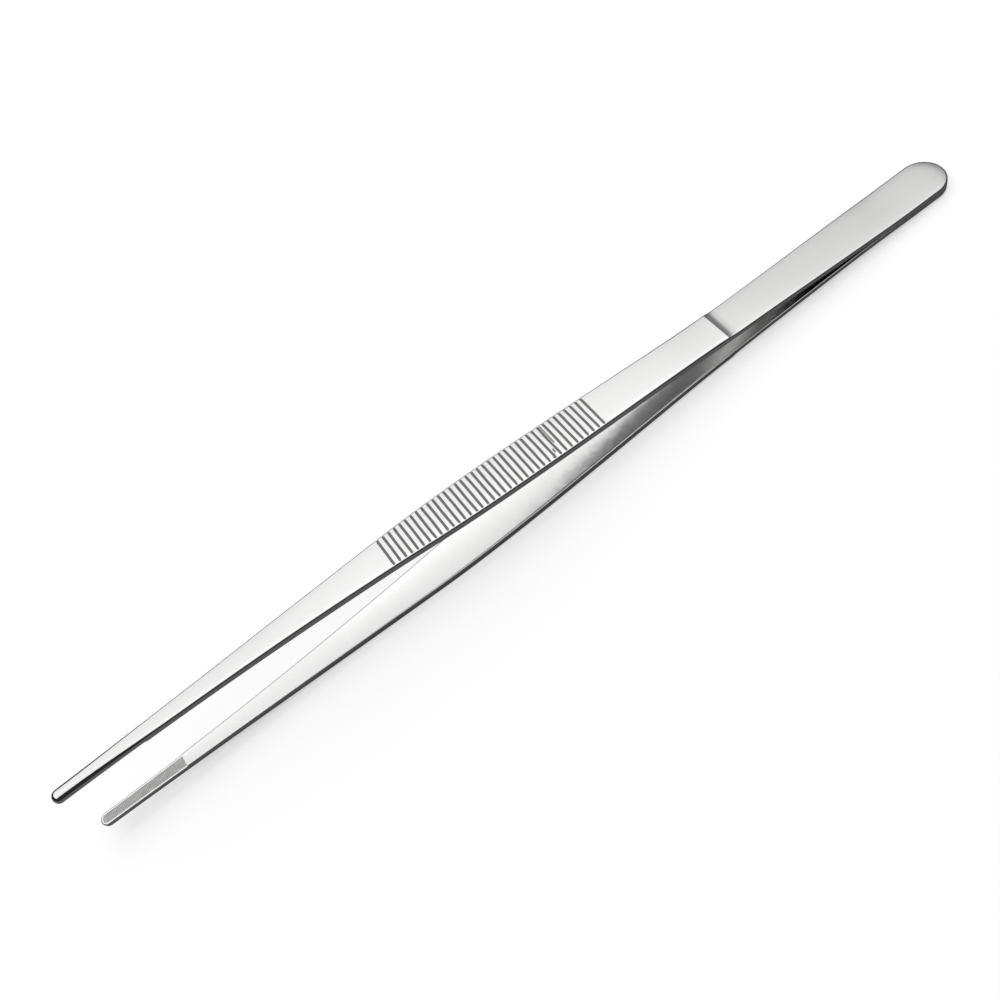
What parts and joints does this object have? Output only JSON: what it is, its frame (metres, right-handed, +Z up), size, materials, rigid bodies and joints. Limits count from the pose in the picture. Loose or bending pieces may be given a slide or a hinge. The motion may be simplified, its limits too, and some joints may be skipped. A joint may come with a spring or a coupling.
{
  "type": "thumb forceps",
  "caption": "Long straight thumb forceps: two sprung steel arms joined at a round head, with a grooved finger grip and narrow round tips with sunk toothed pads.",
  "frame": {"origin": "on the floor, under the middle of the tool's bounding box, as it lies on its lower arm", "axes": "+X from the head towards the tips, +Z up from the lower arm to the upper arm, +Y across the arms"},
  "size_m": [0.3002, 0.0138, 0.0306],
  "materials": {
    "polished_steel": "finely polished stainless steel"
  },
  "bodies": {
    "root": {"upper_arm": "polished_steel", "lower_arm": "polished_steel"}
  },
  "joints": []
}
